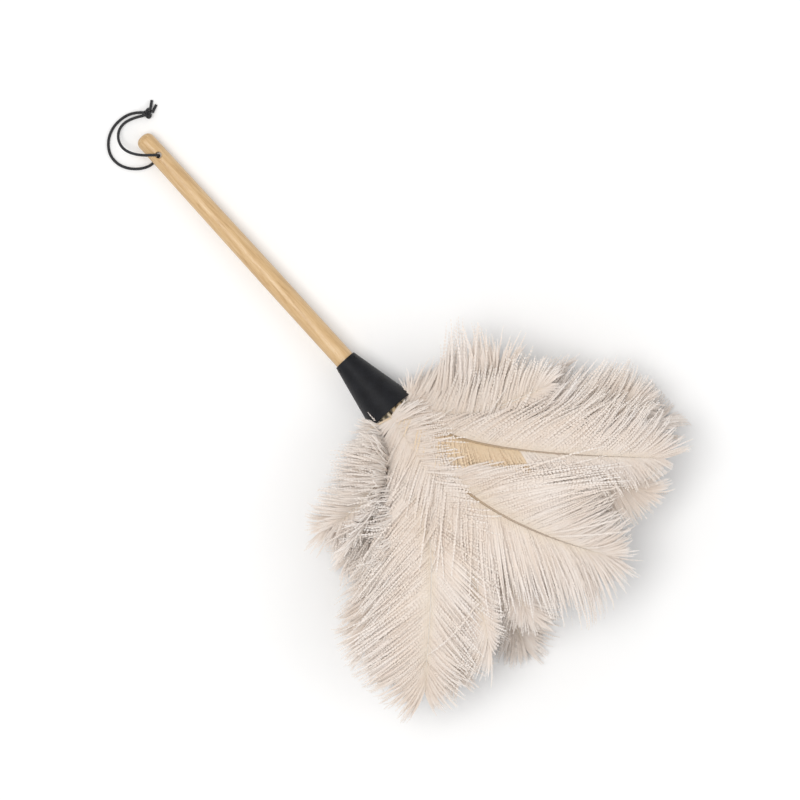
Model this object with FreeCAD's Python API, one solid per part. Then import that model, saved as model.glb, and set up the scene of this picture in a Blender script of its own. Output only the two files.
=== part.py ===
import FreeCAD, Part
import math
import os

# Feather duster lying on a floor: wooden handle, leather cuff, three rings of bound ostrich plumes, cord loop.
# Millimetres.  The working frame has the handle's free end near x = 0, the plumes towards +X, the floor at z = 0.
# export() moves everything so that the row's origin lies under the middle of the duster.

V = FreeCAD.Vector
ORIGIN = (244.0, 2.0, 0.0)  # the row's origin in the working frame

# the whole: how the handle slopes, and the lengths along it
HOLE_X = 17.0  # cross hole near the handle's free end
HOLE_Z = 10.8  # height of the handle's axis above the floor at the cross hole
MOUTH_X = 284.0  # the cuff's wide end
MOUTH_Z = 26.0  # height of the handle's axis there
TILT = math.atan2(MOUTH_Z - HOLE_Z, MOUTH_X - HOLE_X)

# handle
HANDLE_X = -3.0  # its free end
HANDLE_END_R = 7.1
HANDLE_R = 8.0
HANDLE_ROUND = 5.2  # rounding of the free end
SHOULDER_X = 239.0  # where the dowel steps down to its neck, inside the cuff
NECK_R = 6.0
NECK_END_X = 275.0
HOLE_R = 2.5
HOLE_CHAMFER = 0.6

# cuff
CUFF_X = 231.0
CUFF_WALL = 1.15
CUFF_R = (9.2, 20.75)  # outer radius at the narrow end and at the mouth
LAP_ANGLE = 236.0  # where the leather laps over itself, on the underside
LAP_WIDTH_DEG = 34.0
LAP_WALL = 0.9
STITCHES = 11
STITCH = (2.6, 0.8, 0.7)  # length, width, height
TACK_ANGLES = (35.0, 155.0, 275.0)
TACK_X = 235.0
TACK_HEAD_R = 1.5
TACK_SHANK_R = 0.5
TACK_REACH = 4.0  # how far the shank goes below the cuff's surface

# rings of quills: name, count, radius in the cuff, where the quills start, share of the head's spread,
# first angle in degrees
QUILL_R = 1.25
RINGS = (
    ("inner", 12, 7.7, 243.0, 0.30, 15.0),
    ("middle", 14, 11.2, 254.0, 0.61, 0.0),
    ("outer", 16, 14.7, 270.0, 0.92, -10.5),
)
THREAD_R = 0.38
THREAD_TURNS = 5
THREAD_X = {"inner": 248.0, "middle": 261.0, "outer": 274.5}

# the head of plumes, beyond the cuff's mouth
FAN_DEG = 92.0  # how far round the plumes turn to each side
FAN_EDGE = 0.45  # how much further round the outermost ones turn
FAN_LENGTH = 42.0  # how soon they turn that way
SPREAD_LENGTH = 26.0  # how soon the rings open out
HEAD_FLOOR = -3.4  # height of the head's full spread at the bottom; the outer ring stops short of it
TOP_RISE = 74.0  # how far the highest plumes climb above the mouth
TOP_ARCH = 268.0  # length of their arch, from the mouth and down again
# how far the head reaches from the mouth, by direction to the side in degrees (negative is -Y)
REACH = (
    (-90, 62), (-75, 82), (-58, 114), (-48, 176), (-38, 214), (-28, 212), (-14, 208), (0, 214),
    (24, 208), (40, 214), (48, 186), (56, 146), (64, 108), (74, 76), (90, 60),
)
RING_REACH = {"inner": 0.9, "middle": 0.97, "outer": 1.0}
BLADE_HALF = 25.0  # half the width of the widest blade
BLADE_THICK = 1.7  # half its thickness at the middle
SIDE_GAP = 0.41  # most of the way to its neighbour that a blade takes up, in its own ring
RING_GAP = 0.33  # and across the rings
# along a plume: share of its length beyond the mouth, share of the blade's width
BLADE = (
    (0.05, 0.09), (0.14, 0.30), (0.26, 0.66), (0.40, 0.92), (0.55, 1.0), (0.70, 0.93), (0.84, 0.70), (0.94, 0.42),
    (1.0, 0.14),
)

# loop of cord; each strand starts in the middle of the cross hole and ends in the knot
CORD_D = 2.2
UPPER_ROUTE = (
    (17.0, 0.0, 10.8),
    (17.0, 0.0, 20.0),
    (7.4, -11.4, 19.6),
    (-3.6, -17.4, 15.8),
    (-13.8, -15.4, 9.6),
    (-20.2, -7.6, 4.6),
    (-19.4, 3.2, 2.8),
    (-14.2, 12.0, 4.0),
)
LOWER_ROUTE = (
    (17.0, 0.0, 10.8),
    (17.0, 0.0, 1.5),
    (18.4, -10.6, 1.3),
    (12.4, -21.0, 1.3),
    (2.4, -28.0, 1.4),
    (-9.2, -28.4, 1.3),
    (-18.8, -21.6, 1.4),
    (-23.8, -11.6, 1.3),
    (-24.2, -1.0, 1.4),
    (-21.2, 8.2, 1.8),
    (-16.0, 13.6, 2.6),
)
KNOT_AT = (-13.4, 15.4, 3.8)
KNOT_HALF = (4.1, 4.7, 3.6)
KNOT_TURN_DEG = 20.0
TAILS = (
    ((-13.8, 18.4, 3.6), (-18.8, 24.6, 1.6)),
    ((-11.4, 18.6, 2.8), (-14.0, 24.8, 1.3)),
)


def on_axis(along, side=0.0, up=0.0):
    """The point at a distance along the sloping handle, and off its axis to the side and upwards."""
    x = along - MOUTH_X
    return V(
        MOUTH_X + x * math.cos(TILT) - up * math.sin(TILT),
        side,
        MOUTH_Z + x * math.sin(TILT) + up * math.cos(TILT),
    )


def placed(shape):
    """The shape, made along +X about the X axis, put on the sloping handle axis."""
    move = FreeCAD.Placement(on_axis(0), FreeCAD.Rotation(V(0, 1, 0), -math.degrees(TILT)))
    shape = shape.copy()
    shape.Placement = move.multiply(shape.Placement)
    return shape


def turned(profile):
    """A solid of revolution about X, from (x, radius) corners."""
    points = [V(x, r, 0) for x, r in profile]
    points.append(points[0])
    face = Part.Face(Part.makePolygon(points))
    return face.revolve(V(0, 0, 0), V(1, 0, 0), 360)


def cuff_radius(x):
    share = (x - CUFF_X) / (MOUTH_X - CUFF_X)
    return CUFF_R[0] + share * (CUFF_R[1] - CUFF_R[0])


def handle(tacks):
    """The dowel with its rounded end, neck and chamfered cross hole."""
    dowel = turned([
        (HANDLE_X, 0), (HANDLE_X, HANDLE_END_R), (MOUTH_X * 0.5, HANDLE_R), (SHOULDER_X, HANDLE_R),
        (SHOULDER_X + 2, NECK_R), (NECK_END_X, NECK_R), (NECK_END_X, 0),
    ])
    end = [e for e in dowel.Edges if e.BoundBox.XMax < HANDLE_X + 0.01 and e.BoundBox.YLength > HANDLE_END_R]
    dowel = placed(dowel.makeFillet(HANDLE_ROUND, end))
    hole = Part.makeCylinder(HOLE_R, 40, V(HOLE_X, 0, HOLE_Z - 20))
    wide = HOLE_R + HOLE_CHAMFER
    for way in (1, -1):
        rim = V(HOLE_X, 0, HOLE_Z + way * (HANDLE_END_R - HOLE_CHAMFER))
        cone = Part.makeCone(HOLE_R, wide + 1, HOLE_CHAMFER + 1, rim, V(0, 0, way))
        hole = hole.fuse(cone)
    return dowel.cut(hole).cut(tacks)


def cuff_shell():
    """The leather cone with its lapped edge."""
    low, high = CUFF_R
    shell = turned([(CUFF_X, low - CUFF_WALL), (CUFF_X, low), (MOUTH_X, high), (MOUTH_X, high - CUFF_WALL)])
    flap = [
        (CUFF_X + 0.6, low), (CUFF_X + 0.6, low + LAP_WALL),
        (MOUTH_X - 0.4, high + LAP_WALL), (MOUTH_X - 0.4, high - 0.2),
    ]
    points = [V(x, r, 0) for x, r in flap]
    points.append(points[0])
    lap = Part.Face(Part.makePolygon(points)).revolve(V(0, 0, 0), V(1, 0, 0), LAP_WIDTH_DEG)
    lap.rotate(V(0, 0, 0), V(1, 0, 0), LAP_ANGLE)
    return placed(shell.fuse(lap))


def stitches():
    """The row of stitches along the lap, each sunk a little into the leather."""
    rows = []
    slope = math.degrees(math.atan2(CUFF_R[1] - CUFF_R[0], MOUTH_X - CUFF_X))
    length, width, height = STITCH
    for i in range(STITCHES):
        x = CUFF_X + 4.5 + i * (MOUTH_X - CUFF_X - 9) / (STITCHES - 1)
        bar = Part.makeBox(length, width, height, V(-length / 2, -width / 2, -height / 2))
        bar = bar.makeChamfer(0.18, bar.Edges)
        bar.rotate(V(0, 0, 0), V(0, 1, 0), -slope)
        bar.translate(V(x, 0, cuff_radius(x) + LAP_WALL))
        bar.rotate(V(0, 0, 0), V(1, 0, 0), LAP_ANGLE - 90 + LAP_WIDTH_DEG * 0.2)
        rows.append(placed(bar))
    return Part.makeCompound(rows)


def cuff_tacks():
    """Small tacks through the cuff's narrow end into the dowel: a domed head and a shank each."""
    tacks = []
    radius = cuff_radius(TACK_X)
    for angle in TACK_ANGLES:
        shank = Part.makeCylinder(TACK_SHANK_R, TACK_REACH + 0.6, V(TACK_X, 0, radius - TACK_REACH))
        head = Part.makeCylinder(TACK_HEAD_R, 0.6, V(TACK_X, 0, radius - 0.1))
        rim = [e for e in head.Edges if e.BoundBox.ZMin > radius + 0.4]
        tack = head.makeFillet(0.4, rim).fuse(shank)
        tack.rotate(V(0, 0, 0), V(1, 0, 0), angle - 90)
        tacks.append(placed(tack))
    return Part.makeCompound(tacks)


def binding(name, ring_radius):
    """A band of thread turns, pulled tight round one ring of quills."""
    inside = ring_radius + QUILL_R + 0.04
    start = THREAD_X[name]
    pitch = 2 * THREAD_R
    profile = [(start, inside)]
    for turn in range(THREAD_TURNS):
        left = start + turn * pitch
        for share, height in ((0.0, 0.9), (0.25, 1.8), (0.5, 2.0), (0.75, 1.8)):
            profile.append((left + share * pitch, inside + height * THREAD_R))
    profile.append((start + THREAD_TURNS * pitch, inside + 0.9 * THREAD_R))
    profile.append((start + THREAD_TURNS * pitch, inside))
    return placed(turned(profile))


def fan_point(side, length):
    """Where a plume that starts at this share of the head's width has got to, seen from above."""
    steps = 24
    x = y = 0.0
    for i in range(steps):
        run = (i + 0.5) * length / steps
        heading = math.radians(FAN_DEG) * side * (1 + FAN_EDGE * side ** 4) * (1 - math.exp(-run / FAN_LENGTH))
        x += math.cos(heading) * length / steps
        y += math.sin(heading) * length / steps
    return x, y


def head_point(radius, share, angle, length):
    """A point of the head: ring radius in the cuff, the ring's share of the spread, angle round the ring
    in radians, and length beyond the mouth.  Points with different values never meet."""
    rim = CUFF_R[1] - CUFF_WALL - 2.0
    opened = 1 - math.exp(-max(length, 0) / SPREAD_LENGTH)
    reach = radius / rim * (1 - opened) + share * opened
    side = reach * math.cos(angle)
    above = reach * math.sin(angle)
    x, y = fan_point(side, length)
    start = on_axis(MOUTH_X, rim * side, 0)
    low = MOUTH_Z - rim - (MOUTH_Z - rim - HEAD_FLOOR) * opened
    arch = math.sin(math.pi * length / TOP_ARCH) * (1 - math.exp(-length / 18.0))
    high = MOUTH_Z + rim + TOP_RISE * arch
    z = low + (high - low) * (above + 1) / 2
    slope = TILT * 12.0 * (1 - math.exp(-length / 12.0)) * (1 - opened)
    return V(start.x + x - above * rim * math.sin(TILT), start.y + y, z + slope)


def reach_at(direction):
    """How far the head reaches in a direction seen from above, in degrees."""
    for (a, low), (b, high) in zip(REACH, REACH[1:]):
        if a <= direction <= b:
            return low + (high - low) * (direction - a) / (b - a)
    return REACH[0][1] if direction < 0 else REACH[-1][1]


def plume_length(ring, share, angle, number):
    """Length beyond the mouth that brings the tip to the head's edge, with a little unevenness."""
    length = 120.0
    for _ in range(24):
        x, y = fan_point(share * math.cos(angle), length)
        wanted = reach_at(math.degrees(math.atan2(y, x))) * RING_REACH[ring]
        length *= (wanted / math.hypot(x, y)) ** 0.4
    uneven = 1 - 0.05 * (1 + math.sin(2.4 * number + share * 9))
    return length * uneven


def section(point_at, half_width, half_thick, spacing):
    """Six points round a plume's cross-section.  point_at(turn, rise) gives points beside and above it."""
    nudge = 0.01
    beside = point_at(nudge, 0).sub(point_at(-nudge, 0)).Length / (2 * nudge)
    above = point_at(0, nudge).sub(point_at(0, -nudge)).Length / (2 * nudge)
    turn = min(half_width / beside, SIDE_GAP * spacing)
    rise = min(half_thick / above, RING_GAP)
    corners = ((1, 0), (0.5, 1), (-0.5, 1), (-1, 0), (-0.5, -1), (0.5, -1))
    return [point_at(turn * a, rise * b) for a, b in corners]


def faceted(sections):
    """A closed solid of flat triangles through a row of sections."""
    faces = []
    for one, two in zip(sections, sections[1:]):
        count = len(one)
        for i in range(count):
            j = (i + 1) % count
            faces.append((one[i], one[j], two[j]))
            faces.append((one[i], two[j], two[i]))
    for ends in (sections[0][::-1], sections[-1]):
        middle = V(0, 0, 0)
        for p in ends:
            middle = middle.add(p)
        middle = middle.multiply(1 / len(ends))
        faces += [(p, q, middle) for p, q in zip(ends, ends[1:] + ends[:1])]
    shell = Part.makeShell([Part.Face(Part.makePolygon([a, b, c, a])) for a, b, c in faces])
    solid = Part.makeSolid(shell)
    if solid.Volume < 0:
        solid.reverse()
    return solid


def plume(ring, number):
    """One ostrich plume: its quill in the cuff, and its blade in the head."""
    name, count, radius, start, share, first = ring
    spacing = 2 * math.pi / count
    angle = math.radians(first) + number * spacing
    ring_step = 0.31  # between the rings' shares of the spread

    def in_cuff(x):
        def at(turn, rise):
            r = radius + rise * 3.5
            a = angle + turn
            return on_axis(x, r * math.cos(a), r * math.sin(a))
        return at

    def in_head(length):
        def at(turn, rise):
            return head_point(radius + rise * 3.5, share + rise * ring_step, angle + turn, length)
        return at

    length = plume_length(name, share, angle, number)
    sections = [section(in_cuff(x), QUILL_R, QUILL_R, spacing) for x in (start, MOUTH_X - 0.4)]
    for along, width in BLADE:
        half = max(QUILL_R, BLADE_HALF * width)
        thick = QUILL_R + (BLADE_THICK - QUILL_R) * min(1.0, 3 * along)
        if along > 0.85:
            thick = 0.8
        sections.append(section(in_head(along * length), half, thick, spacing))
    return faceted(sections)


def corner_radius(before, corner, after):
    """Radius of the arc at one corner of a cord's route."""
    one = corner.sub(before)
    two = after.sub(corner)
    half_turn = one.getAngle(two) / 2
    return 0.45 * min(one.Length, two.Length) / math.tan(half_turn)


def cord(name, route):
    """A round cord of straight runs joined by tangent arcs."""
    points = [V(*p) for p in route]
    edges = []
    here = points[0]
    radii = []
    for before, corner, after in zip(points, points[1:], points[2:]):
        radius = corner_radius(before, corner, after)
        radii.append(round(radius, 1))
        back = before.sub(corner).normalize()
        on = after.sub(corner).normalize()
        half_turn = (math.pi - back.getAngle(on)) / 2
        cut = radius * math.tan(half_turn)
        start = corner.add(V(back).multiply(cut))
        stop = corner.add(V(on).multiply(cut))
        inward = back.add(on).normalize()
        middle = corner.add(inward.multiply(radius / math.cos(half_turn) - radius))
        edges.append(Part.makeLine(here, start))
        edges.append(Part.Arc(start, middle, stop).toShape())
        here = stop
    edges.append(Part.makeLine(here, points[-1]))
    spine = Part.Wire(edges)
    circle = Part.makeCircle(CORD_D / 2, points[0], points[1].sub(points[0]))
    tube = spine.makePipeShell([Part.Wire(circle)], True, False)
    full = math.pi * (CORD_D / 2) ** 2 * spine.Length
    print(f"{name}: length {spine.Length:.1f} mm, radii {radii}, volume {tube.Volume / full:.4f} of full")
    return tube


def knot():
    """The outline of the knot: a lying ellipsoid."""
    ball = Part.makeSphere(1.0)
    grow = FreeCAD.Matrix()
    grow.scale(*KNOT_HALF)
    ball = ball.transformGeometry(grow)
    ball.rotate(V(0, 0, 0), V(0, 0, 1), KNOT_TURN_DEG)
    ball.translate(V(*KNOT_AT))
    return ball


def tails(ball):
    """The two cut ends of the cord beyond the knot."""
    ends = []
    for start, stop in TAILS:
        a = V(*start)
        run = V(*stop).sub(a)
        ends.append(Part.makeCylinder(CORD_D / 2, run.Length, a, run).cut(ball))
    return Part.makeCompound(ends)


def export(name, shape):
    """Writes one node, moved into the row's frame."""
    shape = shape.copy()
    shape.translate(V(*ORIGIN).multiply(-1))
    bad = [s for s in shape.Solids if not s.isValid()]
    if bad or not shape.Solids:
        raise ValueError(f"{name} is not a valid solid")
    shape.exportStep(f"parts/{name}.step")
    return shape


os.makedirs("parts", exist_ok=True)
tack_group = cuff_tacks()
stitch_group = stitches()
nodes = {
    "handle": handle(tack_group),
    "cuff": cuff_shell().cut(tack_group).cut(stitch_group),
    "cuff_seam_stitches": stitch_group,
    "cuff_tacks": tack_group,
}
for ring in RINGS:
    nodes[f"binding_{ring[0]}"] = binding(ring[0], ring[2])
    for number in range(ring[1]):
        nodes[f"plume_{ring[0]}_{number + 1:02d}"] = plume(ring, number)
held = FreeCAD.BoundBox()
for shape in nodes.values():
    held.add(shape.BoundBox)
print(f"without the cord: {held}")
print(f"middle: {(held.XMin + held.XMax) / 2:.2f}, {(held.YMin + held.YMax) / 2:.2f}")

ball = knot()
nodes["loop_upper_strand"] = cord("upper strand", UPPER_ROUTE)
nodes["loop_lower_strand"] = cord("lower strand", LOWER_ROUTE)
nodes["loop_knot"] = ball
nodes["loop_tails"] = tails(ball)
for name, shape in nodes.items():
    export(name, shape)
print(len(nodes), "nodes")
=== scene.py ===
import bpy
import math
import numpy as np
from mathutils import Matrix, Vector


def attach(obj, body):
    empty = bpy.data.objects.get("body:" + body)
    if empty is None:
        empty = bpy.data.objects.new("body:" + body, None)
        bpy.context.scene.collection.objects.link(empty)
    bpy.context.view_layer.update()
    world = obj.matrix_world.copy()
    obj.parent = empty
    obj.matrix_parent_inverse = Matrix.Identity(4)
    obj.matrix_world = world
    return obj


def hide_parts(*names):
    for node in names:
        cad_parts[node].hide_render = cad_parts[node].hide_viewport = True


# Feather duster.  Lengths below are millimetres in the CAD's working frame: the handle's free end near
# x = 0, the plumes towards +X, the floor at z = 0.  metres() moves a point into the row's frame.
ORIGIN = np.array((244.0, 2.0, 0.0))
HOLE_X, HOLE_Z = 17.0, 10.8  # middle of the handle's cross hole
MOUTH_X, MOUTH_Z = 284.0, 26.0  # middle of the cuff's wide end
TILT = math.atan2(MOUTH_Z - HOLE_Z, MOUTH_X - HOLE_X)
RIM = 17.6  # radius that the quills fill at the cuff's mouth

QUILL_R = 1.25

# name, count, radius in the cuff, where the quills start, share of the head's spread, first angle
RINGS = (
    ("inner", 12, 7.7, 243.0, 0.30, 15.0),
    ("middle", 14, 11.2, 254.0, 0.61, 0.0),
    ("outer", 16, 14.7, 270.0, 0.92, -10.5),
)

# how the plumes fan out from the cuff: the turn of the outermost, how much more the edges turn than the rest,
# and the lengths over which they turn and spread
FAN_DEG, FAN_EDGE, FAN_LENGTH, SPREAD_LENGTH = 92.0, 0.45, 42.0, 26.0
# the head's underside, and the arch of its top: rise, length of the whole arch, where it starts, how it slopes
HEAD_FLOOR, TOP_RISE, TOP_ARCH, ARCH_START, SLOPE_LENGTH = -3.4, 74.0, 268.0, 18.0, 12.0
# how far the head reaches, by its direction seen from above in degrees
REACH = (
    (-90, 62), (-75, 82), (-58, 114), (-48, 176), (-38, 214), (-28, 212), (-14, 208), (0, 214),
    (24, 208), (40, 214), (48, 186), (56, 146), (64, 108), (74, 76), (90, 60),
)
RING_REACH = {"inner": 0.9, "middle": 0.97, "outer": 1.0}

# barbs
BARB_STEP = 1.0  # between neighbours on one side of a plume
BARB_LENGTH = {"inner": 50.0, "middle": 60.0, "outer": 66.0}
BARB_END = {"inner": 0.95, "middle": 0.98, "outer": 0.92}  # share of its length where a shaft ends
OTHER_SIDE = 0.85  # length of the barbs on the tucked side, of those on the other
BARB_PIECE = 2.5  # length of a straight piece of a barb
BARB_HALF = 0.08  # half the width of a loose barb
FRINGE = 1.3  # length of the barbules at a loose barb's edges
CLUMP = 6  # loose barbs that lean together at their tips
CLUMP_PULL = 0.2  # how far they lean
WILD_SHARE, WILD_TIMES = 0.08, 3.0  # some loose barbs stray more than the rest
SOFT_ROWS = 8  # points along a soft strand, the wide down under each barb
SOFT_HALF = 1.3  # half its greatest width
SOFT_BELOW = 0.4  # how far it lies below the loose barbs
SOFT_TAPER = ((0.0, 0.7), (0.1, 1.0), (0.5, 0.9), (0.8, 0.45), (1.0, 0.03))
FRINGE_TAPER = ((0.0, 0.6), (0.1, 1.0), (0.75, 0.9), (1.0, 0.35))
LOWEST = 0.1  # of any point
FLOOR = 0.4  # barbs flatten towards this height
CEILING = 120.0  # and towards this one
SIDES = (-158.0, 165.0)  # and towards these limits in Y
FAR_END = 510.0  # and this one in X
LIMIT_SOFTNESS = 3.0  # how gradually

# by share of the blade: relative length of the barbs, and their angle from the shaft at the root and the tip
BARB_SHAPE = (
    (0.0, 0.3), (0.04, 0.6), (0.14, 0.82), (0.28, 1.0), (0.5, 1.0), (0.75, 0.9), (0.9, 0.72), (1.0, 0.5),
)
LEAVE_DEG = ((0.0, 92), (0.05, 50), (0.6, 46), (0.9, 38), (1.0, 8))
END_DEG = ((0.0, 98), (0.05, 54), (0.4, 50), (0.9, 56), (1.0, 16))
SPREAD_DEG = ((0.0, 38), (0.3, 22), (0.6, 0))  # more at the head's sides
ROOT_RISE = ((0.0, 0.15), (0.10, 0.0))

# barbs longer than WING spread over their neighbours as a wing, and leave the blade's root bare
WING = 90.0
WING_SHAPE = ((0.28, 0.06), (0.44, 1.0), (0.6, 0.9), (0.85, 0.6))
GOLDEN_SHAPE = ((0.05, 0.6), (0.2, 1.0))

# shafts: radius by share of the length beyond the cuff (-1 is inside it), and how much a dark one adds
SHAFT_SIDES = 7
SHAFT_POINTS = 70
SHAFT_START = 0.03  # share of the length at the first of them
SHAFT_R = ((-1, QUILL_R), (0, 1.15), (0.15, 0.85), (0.5, 0.6), (1.0, 0.18))
DARK_THICKER = 0.6

# how much barbs rise from the blade on the side that lies on top, and how much both sides droop
RISE, GOLDEN_RISE, WING_RISE = 0.36, 0.3, 0.5
DROOP, TUCKED_DROOP = 0.5, 0.75
# tint of the tucked barbs near the root: a golden tan, partly the feathers' own colour and partly painted
# shade under the plume above
GOLDEN_PAINTED_SHADE_TINT = 0.9
USUAL_LENGTH = 170.0  # plumes shorter than this have shorter barbs
USUAL_CURL = 9.0  # most that the tips of the other plumes curl, either way
UP = np.array((0.0, 0.0, 1.0))

# Plumes set one by one: darkness of the shaft, longest barbs on the side that lies on top and on the other,
# curl of the tip and sway of the middle towards -Y, share of the length where the shaft ends, and share
# over which the other side is golden: a tan that is partly the feathers' own colour and partly painted shade.
TOP_PLUMES = {
    ("outer", 0): (0.0, 80.0, 48.0, 0.0, 0.0, 0.80, 0.0),
    ("outer", 1): (0.0, 92.0, 44.0, 0.0, 0.0, 0.80, 0.0),
    ("outer", 2): (0.0, 50.0, 34.0, 0.0, 0.0, 0.85, 0.0),
    ("outer", 3): (1.0, 62.0, 42.0, 8.0, 4.0, 1.0, 0.48),
    ("outer", 4): (1.0, 104.0, 84.0, -8.0, 16.0, 0.93, 0.0),
    ("outer", 5): (0.2, 28.0, 82.0, 14.0, -4.0, 1.0, 0.0),
    ("outer", 6): (0.25, 86.0, 62.0, -24.0, -14.0, 1.0, 0.0),
    ("outer", 7): (0.0, 70.0, 60.0, 12.0, 0.0, 0.8, 0.0),
    ("outer", 8): (0.0, 66.0, 66.0, 0.0, 0.0, 0.9, 0.0),
}

LEFT_FROM = math.radians(112)  # from this angle round the ring, the side towards -Y lies on top, not +Y

# cord loop
CORD_D = 2.2
UPPER_ROUTE = (
    (17.0, 0.0, 10.8),
    (17.0, 0.0, 20.0),
    (7.4, -11.4, 19.6),
    (-3.6, -17.4, 15.8),
    (-13.8, -15.4, 9.6),
    (-20.2, -7.6, 4.6),
    (-19.4, 3.2, 2.8),
    (-14.2, 12.0, 4.0),
)
LOWER_ROUTE = (
    (17.0, 0.0, 10.8),
    (17.0, 0.0, 1.5),
    (18.4, -10.6, 1.3),
    (12.4, -21.0, 1.3),
    (2.4, -28.0, 1.4),
    (-9.2, -28.4, 1.3),
    (-18.8, -21.6, 1.4),
    (-23.8, -11.6, 1.3),
    (-24.2, -1.0, 1.4),
    (-21.2, 8.2, 1.8),
    (-16.0, 13.6, 2.6),
)
KNOT_AT = (-13.4, 15.4, 3.8)
KNOT_SIZE = (1.1, 1.25, 1.7)
KNOT_TURN = math.radians(200)
KNOT_CORD = 0.95  # thickness of the pulled cord, of the loose cord's

# camera and light, in metres
CAMERA_HEIGHT = 4.0
CAMERA_OVER = (0.0381, 0.0087)
VIEW_WIDTH = 0.615  # of the picture, at the height of the duster's middle
CAMERA_RIGHT = (0.673, 0.740, 0)
CAMERA_UP = (-0.740, 0.673, 0)
DUSTER_MIDDLE = 0.03
LIT_POINT = (0.1, 0, 0)
SURROUND = 0.66


def metres(points):
    return (np.asarray(points, float) - ORIGIN) / 1000


# ---------------------------------------------------------------- materials

def node_material(name, roughness, coat=0.0, sheen=0.0):
    """A material with a Principled shader, and helpers to add nodes to it."""
    material = bpy.data.materials.new(name)
    material.use_nodes = True
    tree = material.node_tree
    shader = tree.nodes["Principled BSDF"]
    shader.inputs["Roughness"].default_value = roughness
    shader.inputs["Coat Weight"].default_value = coat
    shader.inputs["Sheen Weight"].default_value = sheen
    return material, tree, shader


def position(tree, scale):
    """Object coordinates, stretched by scale."""
    coords = tree.nodes.new("ShaderNodeTexCoord")
    mapping = tree.nodes.new("ShaderNodeMapping")
    mapping.inputs["Scale"].default_value = scale
    tree.links.new(coords.outputs["Object"], mapping.inputs["Vector"])
    return mapping.outputs["Vector"]


def noise(tree, vector, scale, detail=4.0, rough=0.55, distortion=0.0):
    texture = tree.nodes.new("ShaderNodeTexNoise")
    texture.inputs["Scale"].default_value = scale
    texture.inputs["Detail"].default_value = detail
    texture.inputs["Roughness"].default_value = rough
    texture.inputs["Distortion"].default_value = distortion
    tree.links.new(vector, texture.inputs["Vector"])
    return texture.outputs["Fac"]


def ramp(tree, value, stops):
    """A colour ramp from (place, (r, g, b)) stops."""
    node = tree.nodes.new("ShaderNodeValToRGB")
    elements = node.color_ramp.elements
    while len(elements) < len(stops):
        elements.new(0.5)
    for element, (place, colour) in zip(elements, stops):
        element.position = place
        element.color = (*colour, 1)
    tree.links.new(value, node.inputs["Fac"])
    return node.outputs["Color"]


def mix(tree, amount, one, two, kind="MIX"):
    node = tree.nodes.new("ShaderNodeMix")
    node.data_type = "RGBA"
    node.blend_type = kind
    for socket, value in ((node.inputs[0], amount), (node.inputs[6], one), (node.inputs[7], two)):
        if isinstance(value, bpy.types.NodeSocket):
            tree.links.new(value, socket)
        elif isinstance(value, tuple):
            socket.default_value = (*value, 1)
        else:
            socket.default_value = value
    return node.outputs[2]


def attribute(tree, name):
    node = tree.nodes.new("ShaderNodeAttribute")
    node.attribute_name = name
    return node.outputs["Fac"]


def bump(tree, shader, height, strength, distance):
    node = tree.nodes.new("ShaderNodeBump")
    node.inputs["Strength"].default_value = strength
    node.inputs["Distance"].default_value = distance
    tree.links.new(height, node.inputs["Height"])
    tree.links.new(node.outputs["Normal"], shader.inputs["Normal"])


def beech():
    material, tree, shader = node_material("beech", 0.42, coat=0.12)
    grain = noise(tree, position(tree, (5, 130, 130)), 4.0, 5.0, 0.6, 0.4)
    wood = ramp(tree, grain, (
        (0.3, (0.50, 0.31, 0.14)), (0.5, (0.64, 0.43, 0.215)), (0.72, (0.71, 0.51, 0.29)),
    ))
    flecks = noise(tree, position(tree, (40, 900, 900)), 3.0, 2.0)
    fleck_tone = ramp(tree, flecks, ((0.52, (1, 1, 1)), (0.68, (0.80, 0.70, 0.60))))
    wood = mix(tree, 0.6, wood, fleck_tone, "MULTIPLY")
    tree.links.new(wood, shader.inputs["Base Color"])
    bump(tree, shader, flecks, 0.12, 0.0004)
    return material


def black_leather():
    material, tree, shader = node_material("black_leather", 0.5)
    shader.inputs["Specular IOR Level"].default_value = 0.25
    where = position(tree, (1, 1, 1))
    pebble = tree.nodes.new("ShaderNodeTexVoronoi")
    pebble.inputs["Scale"].default_value = 900
    tree.links.new(where, pebble.inputs["Vector"])
    cloud = noise(tree, where, 90, 5.0)
    tone = ramp(tree, cloud, ((0.35, (0.004, 0.004, 0.006)), (0.7, (0.011, 0.012, 0.016))))
    edge = ramp(tree, pebble.outputs["Distance"], ((0.2, (1, 1, 1)), (0.8, (0.6, 0.6, 0.6))))
    tree.links.new(mix(tree, 0.7, tone, edge, "MULTIPLY"), shader.inputs["Base Color"])
    bump(tree, shader, pebble.outputs["Distance"], 0.35, 0.0003)
    return material


def thread(name, dark, light, scale):
    material, tree, shader = node_material(name, 0.75, sheen=0.1)
    twist = noise(tree, position(tree, (1, 1, 1)), scale, 3.0)
    tree.links.new(ramp(tree, twist, ((0.35, dark), (0.68, light))), shader.inputs["Base Color"])
    bump(tree, shader, twist, 0.5, 0.0003)
    return material


def tack_metal():
    material, tree, shader = node_material("tack_metal", 0.35)
    shader.inputs["Metallic"].default_value = 0.8
    wear = noise(tree, position(tree, (1, 1, 1)), 700, 3.0)
    metal = ramp(tree, wear, ((0.4, (0.03, 0.03, 0.032)), (0.75, (0.10, 0.095, 0.09))))
    tree.links.new(metal, shader.inputs["Base Color"])
    return material


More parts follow.
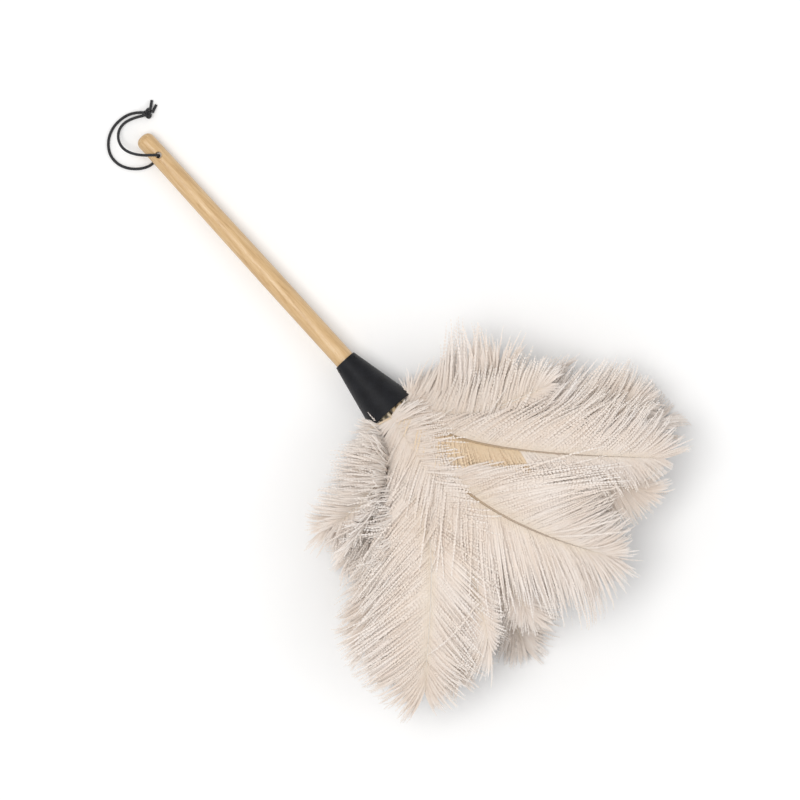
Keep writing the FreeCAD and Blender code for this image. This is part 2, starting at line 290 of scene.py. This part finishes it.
def barb_material():
    """Cream barbs: tan at the root, paler at the tip, each barb a little different."""
    material, tree, shader = node_material("plume_barbs", 0.9)
    along = ramp(tree, attribute(tree, "along"), (
        (0.0, (0.80, 0.71, 0.61)), (0.18, (0.825, 0.745, 0.68)),
        (0.6, (0.85, 0.78, 0.725)), (1.0, (0.89, 0.845, 0.81)),
    ))
    # tints near 1 give the golden tan of tucked barbs near the root: partly their own colour, partly painted
    # shade
    tints = ramp(tree, attribute(tree, "tint"), (
        (0.0, (0.97, 0.94, 0.91)), (0.3, (0.99, 0.98, 0.97)), (0.6, (1.0, 1.0, 1.0)),
        (0.75, (1.0, 0.98, 0.97)), (0.9, (0.95, 0.84, 0.66)), (1.0, (0.85, 0.68, 0.45)),
    ))
    patches = noise(tree, position(tree, (1, 1, 1)), 20, 3.0)
    cloudy = ramp(tree, patches, ((0.38, (0.97, 0.94, 0.905)), (0.6, (1, 1, 1))))
    colour = mix(tree, 1.0, along, tints, "MULTIPLY")
    colour = mix(tree, 0.8, colour, cloudy, "MULTIPLY")
    tree.links.new(colour, shader.inputs["Base Color"])
    shader.inputs["Specular IOR Level"].default_value = 0.1
    return material


def quill_material():
    """The plume's shaft: horn-coloured in the cuff, then as pale as the barbs or brown."""
    material, tree, shader = node_material("plume_quill", 0.45)
    where = attribute(tree, "along")
    pale = ramp(tree, where, (
        (0.0, (0.78, 0.68, 0.50)), (0.2, (0.84, 0.77, 0.69)), (1.0, (0.90, 0.86, 0.81)),
    ))
    brown = ramp(tree, where, (
        (0.0, (0.72, 0.56, 0.34)), (0.25, (0.46, 0.33, 0.20)),
        (0.7, (0.44, 0.35, 0.28)), (1.0, (0.66, 0.58, 0.50)),
    ))
    streaks = noise(tree, position(tree, (60, 400, 400)), 4, 3.0)
    tone = ramp(tree, streaks, ((0.35, (0.82, 0.80, 0.78)), (0.65, (1, 1, 1))))
    colour = mix(tree, attribute(tree, "tint"), pale, brown)
    tree.links.new(mix(tree, 0.8, colour, tone, "MULTIPLY"), shader.inputs["Base Color"])
    return material


# ---------------------------------------------------------------- the head's shape, as in the CAD

def on_axis(along, side=0.0, up=0.0):
    """A point of the tilted handle's axis, or one beside it and above it."""
    x = along - MOUTH_X
    return np.array((
        MOUTH_X + x * math.cos(TILT) - up * math.sin(TILT),
        side,
        MOUTH_Z + x * math.sin(TILT) + up * math.cos(TILT),
    ))


def fan_point(side, length):
    """Where a plume that starts at this share of the head's width has got to, seen from above."""
    steps = 24
    run = (np.arange(steps) + 0.5) * length / steps
    heading = math.radians(FAN_DEG) * side * (1 + FAN_EDGE * side ** 4) * (1 - np.exp(-run / FAN_LENGTH))
    return np.cos(heading).sum() * length / steps, np.sin(heading).sum() * length / steps


def head_point(radius, share, angle, length):
    """A point of a plume, this length beyond the cuff: it leaves the quills' bundle and takes its share of
    the head's width and height."""
    opened = 1 - math.exp(-max(length, 0) / SPREAD_LENGTH)
    reach = radius / RIM * (1 - opened) + share * opened
    side = reach * math.cos(angle)
    above = reach * math.sin(angle)
    x, y = fan_point(side, length)
    start = on_axis(MOUTH_X, RIM * side, 0)
    low = MOUTH_Z - RIM - (MOUTH_Z - RIM - HEAD_FLOOR) * opened
    arch = math.sin(math.pi * length / TOP_ARCH) * (1 - math.exp(-length / ARCH_START))
    high = MOUTH_Z + RIM + TOP_RISE * arch
    z = low + (high - low) * (above + 1) / 2
    slope = TILT * SLOPE_LENGTH * (1 - math.exp(-length / SLOPE_LENGTH)) * (1 - opened)
    return np.array((start[0] + x - above * RIM * math.sin(TILT), start[1] + y, z + slope))


def by_share(share, pairs):
    """Values between (share, value) pairs."""
    return np.interp(share, [place for place, _ in pairs], [value for _, value in pairs])


def reach_at(direction):
    """How far the head reaches in a direction seen from above, in degrees."""
    return float(by_share(direction, REACH))


def plume_length(ring, share, angle, number):
    """The length that brings a plume's tip to the head's outline, less a little that varies."""
    length = 120.0
    for _ in range(24):
        x, y = fan_point(share * math.cos(angle), length)
        wanted = reach_at(math.degrees(math.atan2(y, x))) * RING_REACH[ring]
        length *= (wanted / math.hypot(x, y)) ** 0.4
    return length * (1 - 0.05 * (1 + math.sin(2.4 * number + share * 9)))


def unit(vectors):
    return vectors / np.maximum(np.linalg.norm(vectors, axis=-1, keepdims=True), 1e-9)


class Plume:
    """One plume's shaft: points from the quill's end to the tip, with directions beside and outwards, and the
    lengths, colours and bends that make it different from the others."""

    def __init__(self, ring, number):
        self.name, count, radius, start, share, first = ring
        self.angle = math.radians(first) + number * 2 * math.pi / count
        self.length = plume_length(self.name, share, self.angle, number)
        self.random = np.random.default_rng(1000 * RINGS.index(ring) + number)
        cosine, sine = math.cos(self.angle), math.sin(self.angle)
        cuff_x = np.linspace(start, MOUTH_X - 0.4, 5)
        self.in_cuff = np.array([on_axis(x, radius * cosine, radius * sine) for x in cuff_x])

        def in_head(turn):
            return np.array([head_point(radius, share, self.angle + turn, run) for run in runs])

        runs = np.linspace(SHAFT_START, 1.0, SHAFT_POINTS) * self.length
        self.share = runs / self.length
        self.beside = unit(in_head(0.01) - in_head(-0.01))
        longest = BARB_LENGTH[self.name]
        any_curl = self.random.uniform(-USUAL_CURL, USUAL_CURL)
        usual = (0.0, longest, longest * OTHER_SIDE, any_curl, 0.0, BARB_END[self.name], 0.0)
        values = TOP_PLUMES.get((self.name, number), usual)
        self.dark, self.over, self.under, curl, sway, self.end, self.golden_painted_shade = values
        bend = curl * self.share ** 2.4 + sway * np.sin(math.pi * self.share)
        self.points = in_head(0) + self.beside * bend[:, None]
        self.forward = unit(np.gradient(self.points, axis=0))
        self.out = unit(np.cross(self.forward, self.beside))
        if np.dot(self.out[20], (0, cosine, sine)) < 0:
            self.out = -self.out
        self.beside = unit(np.cross(self.out, self.forward))

    def at(self, share, values):
        """Values of the shaft's points, read at other shares of its length."""
        return np.stack([np.interp(share, self.share, values[:, i]) for i in range(3)], axis=-1)


# ---------------------------------------------------------------- plumes

def grow(root, heading, length):
    """Lines from the roots along the headings, with the given lengths."""
    pieces = heading.shape[1] - 1
    steps = unit(heading) * (length[:, None] / pieces)[..., None]
    start = np.zeros((len(root), 1, 3))
    return root[:, None] + np.concatenate([start, np.cumsum(steps[:, :-1], axis=1)], axis=1)


def slow_random(random, count, low, high):
    """Random values for a row of barbs that change slowly from barb to barb."""
    knots = 7
    return np.interp(np.linspace(0, 1, count), np.linspace(0, 1, knots), random.uniform(low, high, knots))


def along_barb(longest):
    """Share of the barb's length at each of its points, as a row."""
    return np.linspace(0, 1, int(longest / BARB_PIECE) + 1)[None, :]


def sideways(plume):
    """1 for a plume at the head's side, 0 for one near its top or bottom."""
    return min(1.0, max(0.0, abs(math.cos(plume.angle)) - 0.65) / 0.3)


def barb_frames(plume, way, share):
    """Roots of one side's barbs, and the directions forward, beside the shaft and upwards from the blade.
    The blade of a plume at the head's side is turned to lie flat."""
    aside = sideways(plume)
    place = np.clip(share, 0.0, 1.0) * plume.end
    root = plume.at(place, plume.points)
    forward = unit(plume.at(place, plume.forward))
    out = unit(plume.at(place, plume.out))
    turn = np.radians(90 * plume.random.uniform(0.75, 1.1, (len(share), 1))) * aside
    beside = way * (unit(plume.at(place, plume.beside)) * np.cos(turn) + out * np.sin(turn))
    top = unit((1 - aside) * out + aside * UP)
    return root, forward, beside, top


def barb_lengths(plume, over, longest, share):
    length = longest * by_share(share, BARB_SHAPE) * slow_random(plume.random, len(share), 0.88, 1.08)
    if longest > WING:
        length *= by_share(share, WING_SHAPE)
    if plume.golden_painted_shade and not over:
        length *= by_share(share, GOLDEN_SHAPE)
    return length


def barb_headings(plume, over, longest, share, directions):
    """Direction of every barb at each of its points: it bends from the shaft, rises and then droops."""
    forward, beside, top = directions
    s = along_barb(longest)

    def slow(low, high):
        return slow_random(plume.random, len(share), low, high)

    leave = np.radians(by_share(share, LEAVE_DEG) + slow(-6, 6))
    end = np.radians(by_share(share, END_DEG) + slow(-12, 12))
    spread = np.radians(by_share(share, SPREAD_DEG)) * sideways(plume)
    leave, end = leave + spread, end + 1.4 * spread
    bend = leave[:, None] + (end - leave)[:, None] * s ** 0.9
    rise = RISE if over else 0.0
    if plume.golden_painted_shade:
        rise = GOLDEN_RISE
    if longest > WING:
        rise = WING_RISE
    lift = (rise + slow(-0.06, 0.10))[:, None] * (1 - 1.7 * s)
    lift = lift + by_share(share, ROOT_RISE)[:, None] * (1 - s)
    droop = ((DROOP if over else TUCKED_DROOP) + slow(-0.15, 0.2))[:, None] * s ** 1.5
    phase = slow(0.5, 1.1)[:, None] * s + slow(0, 0.6)[:, None]
    wave = slow(0.02, 0.10)[:, None] * np.sin(2 * math.pi * phase)
    return (
        np.cos(bend)[..., None] * forward[:, None]
        + np.sin(bend)[..., None] * beside[:, None]
        + (lift + wave)[..., None] * top[:, None]
        - droop[..., None] * UP
    )


def loose_barbs(root, heading, length, random):
    """Barbs that stray a little from the headings, with tips that lean together in clumps."""
    count, rows, _ = heading.shape
    s = np.linspace(0, 1, rows)[None, :, None]
    wild = np.where(random.uniform(0, 1, count) < WILD_SHARE, WILD_TIMES, 1.0)[:, None, None]
    stray = random.normal(0, 0.045, (count, 1, 3)) * wild
    curl = random.normal(0, 0.14, (count, 1, 3)) * s ** 2
    lines = grow(root, heading + stray + curl, length * random.uniform(0.85, 1.2, count))
    clump = (np.arange(count) + random.integers(0, CLUMP)) // CLUMP
    lead = np.clip(clump * CLUMP + CLUMP // 2 - random.integers(0, CLUMP), 0, count - 1)
    return lines + (lines[lead] - lines) * CLUMP_PULL * s ** 2


def barb_lines(plume, way):
    """Centre lines of the barbs on one side of a plume, as an array of barbs by points: the soft strands
    below, the loose barbs above them, the direction that their surface faces, and how golden each barb is,
    a tan that is partly the barbs' own colour and partly painted shade.
    One side lies over the next plume, and the other side is tucked under."""
    random = plume.random
    over = (way > 0) == (plume.angle < LEFT_FROM)
    longest = plume.over if over else plume.under
    longest *= min(1.0, (plume.length / USUAL_LENGTH) ** 0.8)
    count = int(plume.length * plume.end / BARB_STEP)
    share = np.linspace(0.0, 1.0, count) + random.uniform(-0.003, 0.003, count)
    root, forward, beside, top = barb_frames(plume, way, share)
    length = barb_lengths(plume, over, longest, share)
    heading = barb_headings(plume, over, longest, share, (forward, beside, top))
    soft = grow(root, heading, length * random.uniform(0.72, 0.95, count))
    loose = loose_barbs(root, heading, length, random)
    seen_from = top * (1, 1, 0) + np.maximum(top, 0) * UP
    facing = unit(seen_from[:, None] + 0.5 * along_barb(longest)[..., None] * unit(heading) + 0.8 * UP)
    # golden tan on the tucked side near the root: partly the feathers' own colour, partly painted shade where
    # the plume lying over it shades it
    golden_painted_shade = np.where((share < plume.golden_painted_shade) & (not over), GOLDEN_PAINTED_SHADE_TINT, 0.0)
    return settle(soft), settle(loose), facing, golden_painted_shade


def soft_strands(lines, facing, golden_painted_shade, random):
    """A wide tapering strand under every barb, which together make the plume's soft surface."""
    pick = np.linspace(0, lines.shape[1] - 1, SOFT_ROWS).astype(int)
    centre, face = lines[:, pick], facing[:, pick]
    forward = unit(np.gradient(centre, axis=1))
    across = unit(np.cross(face, forward))
    s = np.linspace(0, 1, SOFT_ROWS)
    half = SOFT_HALF * by_share(s, SOFT_TAPER)[None, :, None]
    below = centre - face * SOFT_BELOW
    points = np.concatenate([below + across * half, below - across * half], axis=1)
    points[..., 2] = np.maximum(points[..., 2], LOWEST)
    count = len(lines)
    i = np.arange(SOFT_ROWS - 1)
    quads = np.stack([i, i + SOFT_ROWS, i + 1 + SOFT_ROWS, i + 1], axis=-1)
    quads = (quads[None] + (np.arange(count) * 2 * SOFT_ROWS)[:, None, None]).reshape(-1, 4)
    along = np.tile(np.concatenate([s, s]), count)
    tint = np.repeat(np.maximum(random.uniform(0.1, 0.6, count), golden_painted_shade), 2 * SOFT_ROWS)
    normals = np.concatenate([unit(face + 0.25 * across), unit(face - 0.25 * across)], axis=1)
    return points.reshape(-1, 3), quads, np.zeros((0, 3), int), along, tint, normals.reshape(-1, 3)


def softly_above(values, limit):
    """Values kept above a limit, with a gradual approach to it."""
    return limit + LIMIT_SOFTNESS * np.logaddexp(0, (values - limit) / LIMIT_SOFTNESS)


def softly_below(values, limit):
    return limit - LIMIT_SOFTNESS * np.logaddexp(0, (limit - values) / LIMIT_SOFTNESS)


def settle(lines):
    """Keeps barbs off the floor and inside the head's limits: they flatten as they come near."""
    lines[..., 0] = softly_below(lines[..., 0], FAR_END)
    lines[..., 1] = softly_below(softly_above(lines[..., 1], SIDES[0]), SIDES[1])
    lines[..., 2] = softly_below(softly_above(lines[..., 2], FLOOR), CEILING)
    return lines


def ribbon_points(lines, facing, random):
    """Points of the ribbons along the barbs and of their barbules' tips, and a normal for each."""
    count, rows, _ = lines.shape
    forward = unit(np.gradient(lines, axis=1))
    roll = facing + random.normal(0, 0.35, (count, 1, 3))
    across = unit(np.cross(roll, forward))
    normal = np.cross(forward, across)
    s = np.linspace(0, 1, rows)[None, :, None]
    half = BARB_HALF * (1.05 - s ** 2)
    left, right = lines + across * half, lines - across * half
    taper = by_share(s[:, :-1], FRINGE_TAPER)
    tips = []
    for edge, way in ((left, 1), (right, -1)):
        base = (edge[:, :-1] + edge[:, 1:]) / 2
        long = FRINGE * taper * random.uniform(0.55, 1.35, (count, rows - 1, 1))
        tilt = random.uniform(-0.7, 0.7, (count, rows - 1, 1))
        away = unit(across[:, :-1] * way + normal[:, :-1] * tilt + forward[:, :-1] * 0.85)
        tips.append(base + away * long)
    points = np.concatenate([left, right, *tips], axis=1)
    points[..., 2] = np.maximum(points[..., 2], LOWEST)
    shade = unit(facing + 0.25 * normal)
    middle = unit(shade[:, :-1] + shade[:, 1:])
    return points, np.concatenate([shade, shade, middle, middle], axis=1)


def ribbons(lines, facing, golden_painted_shade, random):
    """Ribbon along every barb, with a fringe of barbules on both edges.
    Gives points, quads, triangles, and the along, tint and normal values of each point."""
    count, rows, _ = lines.shape
    pieces = rows - 1
    points, normals = ribbon_points(lines, facing, random)
    per = points.shape[1]
    i = np.arange(pieces)
    quads = np.stack([i, i + rows, i + 1 + rows, i + 1], axis=-1)
    fringe_left = np.stack([i, i + 1, i + 2 * rows], axis=-1)
    fringe_right = np.stack([i + 1 + rows, i + rows, i + 2 * rows + pieces], axis=-1)
    start = (np.arange(count) * per)[:, None, None]
    quads = (quads[None] + start).reshape(-1, 4)
    triangles = (np.concatenate([fringe_left, fringe_right])[None] + start).reshape(-1, 3)
    at_rows, at_tips = np.linspace(0, 1, rows), (i + 0.5) / pieces
    along = np.tile(np.concatenate([at_rows, at_rows, at_tips, at_tips]), count)
    tint = np.repeat(np.maximum(random.uniform(0, 0.75, count), golden_painted_shade), per)
    return points.reshape(-1, 3), quads, triangles, along, tint, normals.reshape(-1, 3)


def shaft(plume):
    """The tapering shaft as a closed tube.
    Gives points, quads, triangles, and the along, tint and normal values of each point."""
    sides = SHAFT_SIDES
    shown = plume.share <= plume.end
    centre = np.concatenate([plume.in_cuff, plume.points[shown]])
    forward = unit(np.gradient(centre, axis=0))
    across = unit(np.cross(forward, (0, 0.3, 1.0)))
    up = np.cross(across, forward)
    run = np.concatenate([np.full(len(plume.in_cuff), -1.0), plume.share[shown]])
    radius = by_share(run, SHAFT_R) * (1 + DARK_THICKER * plume.dark)
    turn = np.arange(sides) * 2 * math.pi / sides
    ring = np.cos(turn)[None, :, None] * across[:, None] + np.sin(turn)[None, :, None] * up[:, None]
    points = centre[:, None] + ring * radius[:, None, None]
    rows = len(centre)
    i, j = np.meshgrid(np.arange(rows - 1), np.arange(sides), indexing="ij")
    k = (j + 1) % sides
    corners = (i * sides + j, (i + 1) * sides + j, (i + 1) * sides + k, i * sides + k)
    quads = np.stack(corners, axis=-1).reshape(-1, 4)
    points = np.concatenate([points.reshape(-1, 3), centre[:1], centre[-1:]])
    one, two = np.arange(sides), (np.arange(sides) + 1) % sides
    last = (rows - 1) * sides
    root_cap = np.stack([one, two, np.full(sides, rows * sides)], axis=-1)
    tip_cap = np.stack([two + last, one + last, np.full(sides, rows * sides + 1)], axis=-1)
    caps = np.concatenate([root_cap, tip_cap])
    along = np.concatenate([np.repeat(np.clip(run, 0, 1), sides), [0.0, 1.0]])
    normals = np.concatenate([ring.reshape(-1, 3), -forward[:1], forward[-1:]])
    return points, quads, caps, along, np.full(len(along), plume.dark), normals


def wound(points, faces, normals):
    """The faces, each wound so that its front agrees with the normals given for its points."""
    if not len(faces):
        return faces
    corners = points[faces[:, :3]]
    front = np.cross(corners[:, 1] - corners[:, 0], corners[:, 2] - corners[:, 0])
    wrong = (front * normals[faces].sum(axis=1)).sum(axis=1) < 0
    return np.where(wrong[:, None], faces[:, ::-1], faces)


def mesh_object(name, parts, materials, slots_used):
    """One object from (points, quads, triangles, along, tint, normals) parts, each with its own slot."""
    points = np.concatenate([p[0] for p in parts])
    loops, sizes, slots = [], [], []
    base = 0
    for index, (p, quads, triangles, _, _, normals) in enumerate(parts):
        quads, triangles = wound(p, quads, normals), wound(p, triangles, normals)
        loops += [quads.ravel() + base, triangles.ravel() + base]
        sizes += [np.full(len(quads), 4), np.full(len(triangles), 3)]
        slots.append(np.full(len(quads) + len(triangles), slots_used[index]))
        base += len(p)
    loops, sizes, slots = np.concatenate(loops), np.concatenate(sizes), np.concatenate(slots)
    mesh = bpy.data.meshes.new(name)
    mesh.vertices.add(len(points))
    mesh.vertices.foreach_set("co", metres(points).ravel())
    mesh.loops.add(len(loops))
    mesh.loops.foreach_set("vertex_index", loops.astype(np.int32))
    mesh.polygons.add(len(sizes))
    mesh.polygons.foreach_set("loop_start", np.concatenate([[0], np.cumsum(sizes)[:-1]]).astype(np.int32))
    mesh.polygons.foreach_set("loop_total", sizes.astype(np.int32))
    for material in materials:
        mesh.materials.append(material)
    mesh.polygons.foreach_set("material_index", slots.astype(np.int32))
    for index, label in ((3, "along"), (4, "tint")):
        values = mesh.attributes.new(label, "FLOAT", "POINT")
        values.data.foreach_set("value", np.concatenate([p[index] for p in parts]).astype(np.float32))
    mesh.update()
    mesh.normals_split_custom_set_from_vertices(np.concatenate([p[5] for p in parts]))
    obj = bpy.data.objects.new(name, mesh)
    bpy.context.scene.collection.objects.link(obj)
    return obj


def plume_piece(ring, number, quill, barbs):
    plume = Plume(ring, number)
    name = f"plume_{plume.name}_{number + 1:02d}"
    parts = [shaft(plume)]
    for way in (-1, 1):
        soft, loose, facing, golden_painted_shade = barb_lines(plume, way)
        parts.append(ribbons(loose, facing, golden_painted_shade, plume.random))
        parts.append(soft_strands(soft, facing, golden_painted_shade, plume.random))
    obj = mesh_object(name + "_feather", parts, [quill, barbs], (0, 1, 1, 1, 1))
    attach(obj, "duster")
    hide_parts(name)


# ---------------------------------------------------------------- cord loop

def curve_piece(name, points, radius, material):
    """A round tube along a NURBS curve with these control points."""
    curve = bpy.data.curves.new(name, "CURVE")
    curve.dimensions = "3D"
    curve.bevel_depth = radius / 1000
    curve.bevel_resolution = 5
    curve.use_fill_caps = True
    curve.resolution_u = 14
    spline = curve.splines.new("NURBS")
    spline.points.add(len(points) - 1)
    for point, place in zip(spline.points, metres(points)):
        point.co = (*place, 1)
    spline.order_u = 3
    spline.use_endpoint_u = True
    curve.materials.append(material)
    obj = bpy.data.objects.new(name, curve)
    bpy.context.scene.collection.objects.link(obj)
    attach(obj, "cord loop")
    return obj


def knot_points():
    """An overhand knot's line: a tight trefoil lying in the knot's outline."""
    turn = np.linspace(0, 2 * math.pi, 28, endpoint=False)
    x = np.sin(turn) + 2 * np.sin(2 * turn)
    y = np.cos(turn) - 2 * np.cos(2 * turn)
    z = -np.sin(3 * turn)
    points = np.stack([x, y, z], axis=-1) * KNOT_SIZE
    cosine, sine = math.cos(KNOT_TURN), math.sin(KNOT_TURN)
    spin = np.array(((cosine, -sine, 0), (sine, cosine, 0), (0, 0, 1)))
    points = points @ spin.T + KNOT_AT
    return np.concatenate([points, points[:2]])


def cord_loop(material):
    upper = curve_piece("upper_strand", UPPER_ROUTE, CORD_D / 2, material)
    lower = curve_piece("lower_strand", LOWER_ROUTE, CORD_D / 2, material)
    tied = curve_piece("tied_knot", knot_points(), CORD_D / 2 * KNOT_CORD, material)
    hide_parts("loop_upper_strand")
    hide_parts("loop_lower_strand")
    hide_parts("loop_knot")


# ---------------------------------------------------------------- setting

def paint(node, material):
    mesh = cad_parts[node].data
    mesh.materials.clear()
    mesh.materials.append(material)


def floor():
    mesh = bpy.data.meshes.new("floor")
    size = 6.0
    corners = [(-size, -size, 0), (size, -size, 0), (size, size, 0), (-size, size, 0)]
    mesh.from_pydata(corners, [], [(0, 1, 2, 3)])
    obj = bpy.data.objects.new("floor", mesh)
    bpy.context.scene.collection.objects.link(obj)
    material, tree, shader = node_material("floor_paper", 0.9)
    speck = noise(tree, position(tree, (1, 1, 1)), 3.0)
    paper = ramp(tree, speck, ((0.3, (0.955, 0.955, 0.955)), (0.7, (0.97, 0.97, 0.97))))
    tree.links.new(paper, shader.inputs["Base Color"])
    mesh.materials.append(material)


def area_light(name, place, size, power, colour):
    light = bpy.data.lights.new(name, "AREA")
    light.shape = "DISK"
    light.size = size
    light.energy = power
    light.color = colour
    obj = bpy.data.objects.new(name, light)
    obj.location = place
    obj.rotation_euler = (Vector(LIT_POINT) - Vector(place)).to_track_quat("-Z", "Y").to_euler()
    bpy.context.scene.collection.objects.link(obj)


def lights():
    """A wide soft key from above, a weak fill from the side and a bright surround."""
    area_light("key", (-0.3, -0.45, 2.4), size=1.3, power=27, colour=(1.0, 0.99, 0.975))
    area_light("fill", (1.2, 1.0, 1.6), size=1.4, power=5, colour=(0.98, 0.99, 1.0))
    world = bpy.data.worlds.new("surround")
    world.use_nodes = True
    background = world.node_tree.nodes["Background"]
    background.inputs["Color"].default_value = (1, 1, 1, 1)
    background.inputs["Strength"].default_value = SURROUND
    bpy.context.scene.world = world


def camera():
    """Straight above, turned so that the handle runs from the upper left to the lower right."""
    data = bpy.data.cameras.new("camera")
    data.lens = data.sensor_width * CAMERA_HEIGHT / VIEW_WIDTH
    data.clip_start, data.clip_end = 0.05, 20
    obj = bpy.data.objects.new("camera", data)
    right = Vector(CAMERA_RIGHT).normalized()
    up = Vector(CAMERA_UP).normalized()
    turn = Matrix((right, up, right.cross(up))).transposed().to_4x4()
    obj.matrix_world = Matrix.Translation((*CAMERA_OVER, CAMERA_HEIGHT + DUSTER_MIDDLE)) @ turn
    bpy.context.scene.collection.objects.link(obj)
    bpy.context.scene.camera = obj


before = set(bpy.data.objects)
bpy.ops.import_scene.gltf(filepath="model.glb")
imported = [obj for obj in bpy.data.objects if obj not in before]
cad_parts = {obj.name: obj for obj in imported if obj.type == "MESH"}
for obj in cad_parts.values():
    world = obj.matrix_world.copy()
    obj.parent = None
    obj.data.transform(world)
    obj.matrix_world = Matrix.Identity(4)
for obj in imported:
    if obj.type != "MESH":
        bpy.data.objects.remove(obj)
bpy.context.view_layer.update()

cord_material = thread("black_cord", (0.006, 0.006, 0.007), (0.030, 0.030, 0.034), 1500)
quill = quill_material()
barbs = barb_material()
paint("handle", beech())
paint("cuff", black_leather())
paint("cuff_seam_stitches", thread("seam_thread", (0.02, 0.02, 0.022), (0.07, 0.07, 0.075), 1800))
paint("cuff_tacks", tack_metal())
binding = thread("binding_thread", (0.42, 0.33, 0.20), (0.70, 0.60, 0.42), 1300)
for ring in RINGS:
    paint(f"binding_{ring[0]}", binding)
paint("loop_tails", cord_material)
camera()
cord_loop(cord_material)
for ring in RINGS:
    for number in range(ring[1]):
        plume_piece(ring, number, quill, barbs)
floor()
lights()
bpy.context.scene.view_settings.view_transform = "Standard"
